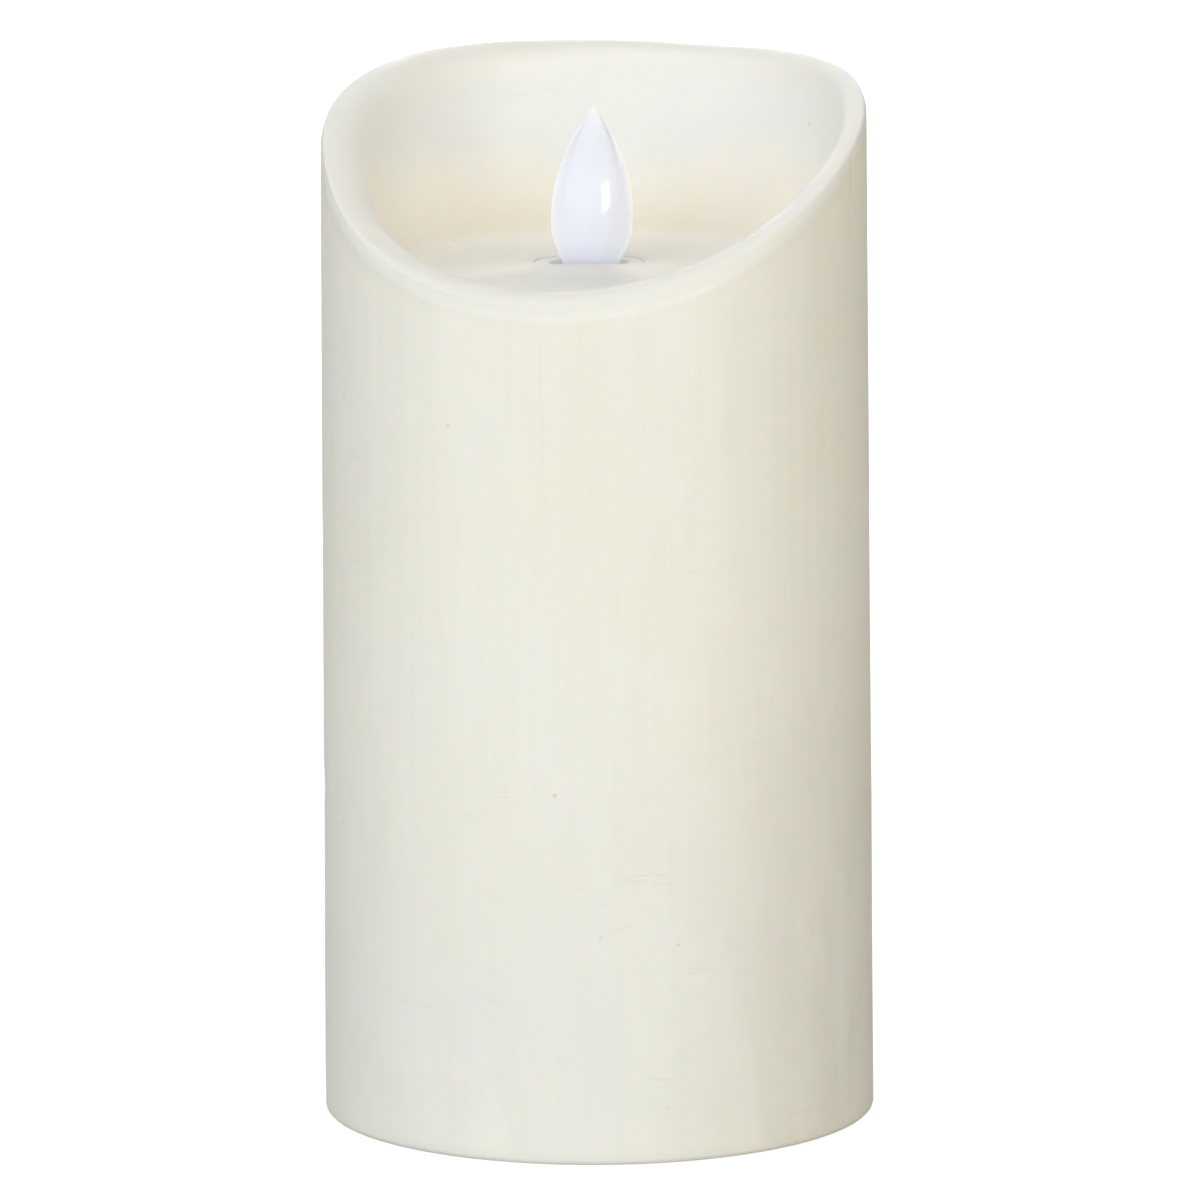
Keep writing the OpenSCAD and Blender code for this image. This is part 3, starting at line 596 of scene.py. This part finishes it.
def metal(name, colour, rough, stretch=(1, 1, 1)):
    """Bright metal with drawing or rolling marks along the axis that stretch shortens."""
    s = Shader(name)
    marks = s.noise(2500, 4, 0.65, vector=s.stretched(stretch))
    dull = tuple(c * 0.82 for c in colour)
    s.set(Base_Color=s.mix(s.spread(marks, 0.3, 0.7), dull, colour), Metallic=1.0,
          Roughness=s.spread(marks, 0.25, 0.75, rough * 0.8, rough * 1.35),
          Normal=s.bump(marks, 0.25, 0.00002, s.soft_edges(0.0001)))
    return s.material


def board_material():
    """Green lacquer over copper areas that stand slightly proud."""
    s = Shader("board")
    tracks = s.cells(420, "DISTANCE_TO_EDGE", jitter=0.35)
    copper = s.spread(tracks, 0.10, 0.16)
    base = s.mix(copper, (0.030, 0.190, 0.070), (0.020, 0.115, 0.045))
    s.set(Base_Color=base, Roughness=s.spread(s.noise(500, 2), 0.3, 0.7, 0.22, 0.34),
          Normal=s.bump(copper, 0.4, 0.00005), Coat_Weight=0.4)
    return s.material


def cell_material():
    """Printed sleeve around the can, bare nickel at both ends, and a metallic band at the plus end."""
    s = Shader("cell_can")
    low, high = box_mm("front_cell")
    half = (high[0] - low[0]) / 2 * MM
    along = s.axis("X")
    nickel = (0.74, 0.74, 0.75)
    gold = (0.55, 0.34, 0.12)
    # bare for 3 mm at each end, and banded over the last 12 mm at the plus end
    sleeve = s.spread(s.math("ABSOLUTE", along), half - 0.0032, half - 0.0028, 1.0, 0.0)
    # the two cells lie head to tail on both sides of the line y = between
    between = (high[1] + box_mm("rear_cell")[0][1]) / 2 * MM
    plus_side = s.spread(s.axis("Y"), between - 0.0001, between + 0.0001, -1.0, 1.0)
    band = s.spread(s.math("MULTIPLY", along, plus_side), half - 0.0120, half - 0.0117)
    print_noise = s.noise(300, 3)
    blue = s.mix(s.spread(print_noise, 0.3, 0.7), (0.045, 0.060, 0.085), (0.060, 0.080, 0.110))
    colour = s.mix(sleeve, nickel, s.mix(band, blue, gold))
    s.set(Base_Color=colour, Metallic=s.math("SUBTRACT", 1.0, s.math("MULTIPLY", sleeve, 0.7)),
          Roughness=s.spread(print_noise, 0.3, 0.7, 0.24, 0.34),
          Normal=s.bump(print_noise, 0.2, 0.00003))
    return s.material


def copper_material():
    """Enamelled wire, with each turn of the coil a slightly different tone."""
    s = Shader("copper")
    turns = s.noise(3000, 2, vector=s.stretched((0.02, 0.02, 1)))
    colour = s.mix(s.spread(turns, 0.3, 0.7), (0.50, 0.17, 0.06), (0.80, 0.36, 0.16))
    s.set(Base_Color=colour, Metallic=1.0, Roughness=s.spread(turns, 0.3, 0.7, 0.22, 0.36),
          Normal=s.bump(turns, 0.6, 0.00005))
    return s.material


def led_material():
    """Glossy epoxy, tinted by the phosphor."""
    s = Shader("led_epoxy")
    core = s.noise(900, 2)
    colour = s.mix(s.spread(core, 0.3, 0.7), (0.86, 0.70, 0.30), (0.93, 0.84, 0.52))
    s.set(Base_Color=colour, Roughness=s.spread(core, 0.3, 0.7, 0.06, 0.14), Coat_Weight=0.6,
          Normal=s.bump(core, 0.1, 0.00002))
    return s.material


def make_finishes():
    """One material for each of the record's slots that a CAD node still shows."""
    return {
        "clear_plastic": plastic("clear_plastic", (0.80, 0.83, 0.84), 0.30, Subsurface_Weight=0.6,
                                 Subsurface_Scale=0.002),
        "magnet": metal("magnet", (0.80, 0.80, 0.82), 0.16),
        "steel_wire": metal("steel_wire", (0.66, 0.66, 0.67), 0.28, (0.04, 1, 1)),
        "collar_plastic": plastic("collar_plastic", (0.93, 0.92, 0.93), 0.42, speck=0.01),
        "housing_plastic": plastic("housing_plastic", (0.66, 0.66, 0.63), 0.55),
        "screw_steel": metal("screw_steel", (0.58, 0.58, 0.60), 0.34),
        "black_plastic": plastic("black_plastic", (0.020, 0.020, 0.021), 0.42),
        "copper": copper_material(),
        "led_epoxy": led_material(),
        "tinned_leads": metal("tinned_leads", (0.70, 0.70, 0.69), 0.30, (1, 1, 0.05)),
        "board": board_material(),
        "chip": plastic("chip", (0.018, 0.018, 0.020), 0.62, grain=5000, bump=0.00005),
        "capacitor_sleeve": plastic("capacitor_sleeve", (0.020, 0.025, 0.110), 0.24, bump=0.00001),
        "base_plastic": plastic("base_plastic", (0.80, 0.775, 0.68), 0.50, grain=1500, bump=0.00005),
        "cell_can": cell_material(),
        "contact_steel": metal("contact_steel", (0.76, 0.76, 0.77), 0.22, (1, 1, 0.05)),
        "switch_metal": metal("switch_metal", (0.58, 0.58, 0.60), 0.36, (0.05, 1, 1)),
        "knob_plastic": plastic("knob_plastic", (0.022, 0.022, 0.023), 0.48),
        "red_pvc": plastic("red_pvc", (0.42, 0.018, 0.014), 0.34, grain=700),
        "black_pvc": plastic("black_pvc", (0.016, 0.016, 0.017), 0.34, grain=700),
    }


ROUND_WIRES = ("bridge_spring", "negative_spring", "red_wire", "black_wire", "switch_wire", "led_leads")

# width of the rounded edges of each moulded part, in millimetres
MOULDED_EDGES = {
    "base_tray": 0.06,
    "battery_door": 0.10,
    "switch_knob": 0.12,
    "housing_front": 0.12,
    "housing_rear": 0.12,
    "coil_bobbin": 0.12,
    "switch_case": 0.15,
    "flame_collar": 0.15,
    "base_cover": 0.20,
}


def welded(obj):
    """Joins the separate faces that the frame's mesh comes in."""
    weld = obj.modifiers.new("weld", "WELD")
    weld.merge_threshold = 1e-6
    obj.data.shade_smooth()


def round_edges(obj, width):
    """Rounds every sharp edge by a width in millimetres, and keeps the flat faces flat."""
    welded(obj)
    rounds = obj.modifiers.new("round", "BEVEL")
    rounds.width = width * MM
    rounds.segments = 2
    rounds.limit_method = "ANGLE"
    rounds.angle_limit = math.radians(40)
    rounds.use_clamp_overlap = False
    obj.modifiers.new("normals", "WEIGHTED_NORMAL")


def smooth_wire(obj):
    """Makes a wire of eight sides round."""
    welded(obj)
    smooth = obj.modifiers.new("smooth", "SUBSURF")
    smooth.levels = smooth.render_levels = 1


def dress_nodes(finishes):
    """Gives every shown CAD node its finish, and rounds the edges of moulded parts and the wires."""
    slots = {p["node"]: p["material_slot"] for p in frame["record"]["subparts"]}
    for node, obj in NODES.items():
        if obj.hide_render:
            continue
        material = finishes[slots[node]]
        obj.data.materials.clear()
        obj.data.materials.append(material)
        if node in ROUND_WIRES:
            smooth_wire(obj)
        elif node in MOULDED_EDGES:
            round_edges(obj, MOULDED_EDGES[node])


# ---------------------------------------------------------------- studio

# brightness of the world as light, and how much it falls to the sides and overhead
FRONT_LEVEL = 1.14
BACK_LEVEL = 0.60
SIDE_DIM_RIGHT = 0.78
SIDE_DIM_LEFT = 0.58
TOP_SHARE = 0.60
WHITE = (1, 1, 1, 1)
WARM_SIDES = (1, 0.93, 0.78, 1)
WARM_RIGHT = (0.98, 0.92, 0.78, 1)

# height and rings of the floor in millimetres, and the glow that lifts it to white for the camera only
STUDIO_Z = -0.02
STUDIO_RADII = (PILLAR_R - 0.6, 60, 120, 400, 2000, 9000)
STUDIO_LIFT = 0.80

# height in metres of the point that the lights face
LIT_Z = 0.09


def floor_material():
    """Matt white from above, and clear from below so that the underside can be seen."""
    s = Shader("studio_floor")
    grain = s.noise(40, 2)
    s.set(Base_Color=s.mix(grain, (0.38, 0.38, 0.37), (0.40, 0.40, 0.39)), Roughness=0.9)
    path = s.nodes.new("ShaderNodeLightPath")
    lift = s.math("MULTIPLY", path.outputs["Is Camera Ray"], STUDIO_LIFT)
    s.set(Emission_Color=WHITE, Emission_Strength=lift)
    clear = s.nodes.new("ShaderNodeBsdfTransparent")
    side = s.nodes.new("ShaderNodeNewGeometry")
    mixer = s.nodes.new("ShaderNodeMixShader")
    s.link(side.outputs["Backfacing"], mixer.inputs[0])
    s.link(s.bsdf.outputs[0], mixer.inputs[1])
    s.link(clear.outputs[0], mixer.inputs[2])
    s.link(mixer.outputs[0], s.out.inputs["Surface"])
    return s.material


def build_floor():
    """A wide floor with an opening that the candle's foot hides, so that light reaches its underside."""
    sides = 128
    angles = np.arange(sides) * 2 * math.pi / sides
    radii = np.array(STUDIO_RADII)[:, None]
    x = radii * np.sin(angles)
    y = radii * np.cos(angles)
    rings = np.stack([x, y, np.full_like(x, STUDIO_Z)], axis=-1)
    mesh = ring_mesh("studio_floor", rings[::-1], closed_path=False)
    obj = bpy.data.objects.new("studio_floor", mesh)
    SCENE.collection.objects.link(obj)
    if mesh.polygons[0].normal.z < 0:
        mesh.flip_normals()
    mesh.materials.append(floor_material())


def soft_box(name, azimuth, elevation, distance, size, power, colour=(1, 1, 1), diffuse=True, glossy=True):
    """An oblong light that faces the pillar's middle. Azimuth counts from the front towards the right.

    Without diffuse it shows only as a highlight, and without glossy it leaves none."""
    a, e = math.radians(azimuth), math.radians(elevation)
    way = Vector((math.sin(a) * math.cos(e), -math.cos(a) * math.cos(e), math.sin(e)))
    light = bpy.data.lights.new(name, "AREA")
    light.shape = "RECTANGLE"
    light.size, light.size_y = size
    light.energy = power
    light.color = colour
    obj = bpy.data.objects.new(name, light)
    obj.location = Vector((0, 0, LIT_Z)) + way * distance
    obj.rotation_euler = way.to_track_quat("Z", "Y").to_euler()
    obj.visible_diffuse = diffuse
    obj.visible_glossy = glossy
    SCENE.collection.objects.link(obj)


def build_lights():
    """The window makes the flame's highlight, and the others only soft light."""
    warm = (1, 0.82, 0.55)
    soft_box("window", azimuth=41, elevation=11, distance=1.3, size=(0.55, 0.42), power=5, diffuse=False)
    soft_box("key", azimuth=26, elevation=13, distance=1.8, size=(1.4, 0.9), power=4, glossy=False)
    soft_box("left", azimuth=-35, elevation=14, distance=2, size=(1.5, 1.5), power=10.5, glossy=False)
    soft_box("top", azimuth=0, elevation=80, distance=1.2, size=(0.5, 0.5), power=0.7, glossy=False)
    soft_box("right", azimuth=66, elevation=24, distance=2, size=(1.2, 1.2), power=0.8, colour=warm)
    soft_box("back", azimuth=182, elevation=20, distance=2, size=(1.6, 1.6), power=17)


def build_world():
    """White to the camera. As light it is bright in front, and dimmer and warmer behind on both sides."""
    world = bpy.data.worlds.new("studio")
    SCENE.world = world
    world.use_nodes = True
    tree = world.node_tree
    tree.nodes.clear()

    def node(kind, *inputs, **settings):
        """Makes a node with the given settings, and links or sets its inputs in order."""
        made = tree.nodes.new(kind)
        for key, value in settings.items():
            setattr(made, key, value)
        for socket, value in zip(made.inputs, inputs):
            if isinstance(value, bpy.types.NodeSocket):
                tree.links.new(value, socket)
            elif value is not None:
                socket.default_value = value
        return made

    way = node("ShaderNodeTexCoord").outputs["Generated"]
    split = node("ShaderNodeSeparateXYZ", way).outputs

    def band(value, low, high, start, end):
        ramp = node("ShaderNodeMapRange", value, low, high, start, end, interpolation_type="SMOOTHSTEP")
        return ramp.outputs["Result"]

    def blend(kind, share, a, b):
        # the colour sockets of this node are its seventh and eighth
        unused = [None] * 5
        mixed = node("ShaderNodeMix", share, *unused, a, b, data_type="RGBA", blend_type=kind)
        return mixed.outputs[2]

    right = band(split["X"], 0.35, 0.80, 0.0, SIDE_DIM_RIGHT)
    left = band(split["X"], -0.35, -0.80, 0.0, SIDE_DIM_LEFT)
    behind = band(split["Y"], 0.0, 0.35, 0.0, 1.0)
    dim = node("ShaderNodeMath", right, left, operation="ADD").outputs[0]
    dim = node("ShaderNodeMath", dim, behind, operation="MULTIPLY").outputs[0]
    level = band(split["Y"], -0.25, 0.50, FRONT_LEVEL, BACK_LEVEL)
    level = node("ShaderNodeMath", level, dim, operation="SUBTRACT").outputs[0]
    above = band(split["Z"], 0.25, 0.90, 1.0, TOP_SHARE)
    level = node("ShaderNodeMath", level, above, operation="MULTIPLY").outputs[0]
    share = node("ShaderNodeMath", dim, 2.5, operation="MULTIPLY", use_clamp=True).outputs[0]
    colour = blend("MIX", share, WHITE, WARM_SIDES)
    colour = blend("MULTIPLY", band(split["X"], 0.05, 0.65, 0.0, 1.0), colour, WARM_RIGHT)
    light = node("ShaderNodeBackground", colour, level)
    seen = node("ShaderNodeBackground", WHITE, 1.0)
    path = node("ShaderNodeLightPath")
    mixer = node("ShaderNodeMixShader", path.outputs["Is Camera Ray"], light.outputs[0], seen.outputs[0])
    node("ShaderNodeOutputWorld", mixer.outputs[0])


def build_camera():
    """A long lens in front, 9.9 degrees above the middle of the pillar and rolled by a third of a degree."""
    distance = 1.3
    elevation = math.radians(9.87)
    target = Vector((0, 0, 0.0745))
    back = Vector((0, -math.cos(elevation), math.sin(elevation)))
    data = bpy.data.cameras.new("camera")
    data.lens = 269.4
    data.sensor_width = 36
    data.shift_x = 0.0029
    data.shift_y = 0.0003
    data.clip_start = 0.05
    data.clip_end = 30
    camera = bpy.data.objects.new("camera", data)
    camera.location = target + back * distance
    camera.rotation_mode = "QUATERNION"
    roll = Euler((0, 0, math.radians(-0.37))).to_quaternion()
    camera.rotation_quaternion = (-back).to_track_quat("-Z", "Y") @ roll
    SCENE.collection.objects.link(camera)
    SCENE.camera = camera


build_wax()
build_flame()
dress_nodes(make_finishes())
build_floor()
build_world()
build_lights()
build_camera()
SCENE.view_settings.view_transform = "Standard"
SCENE.cycles.use_denoising = True
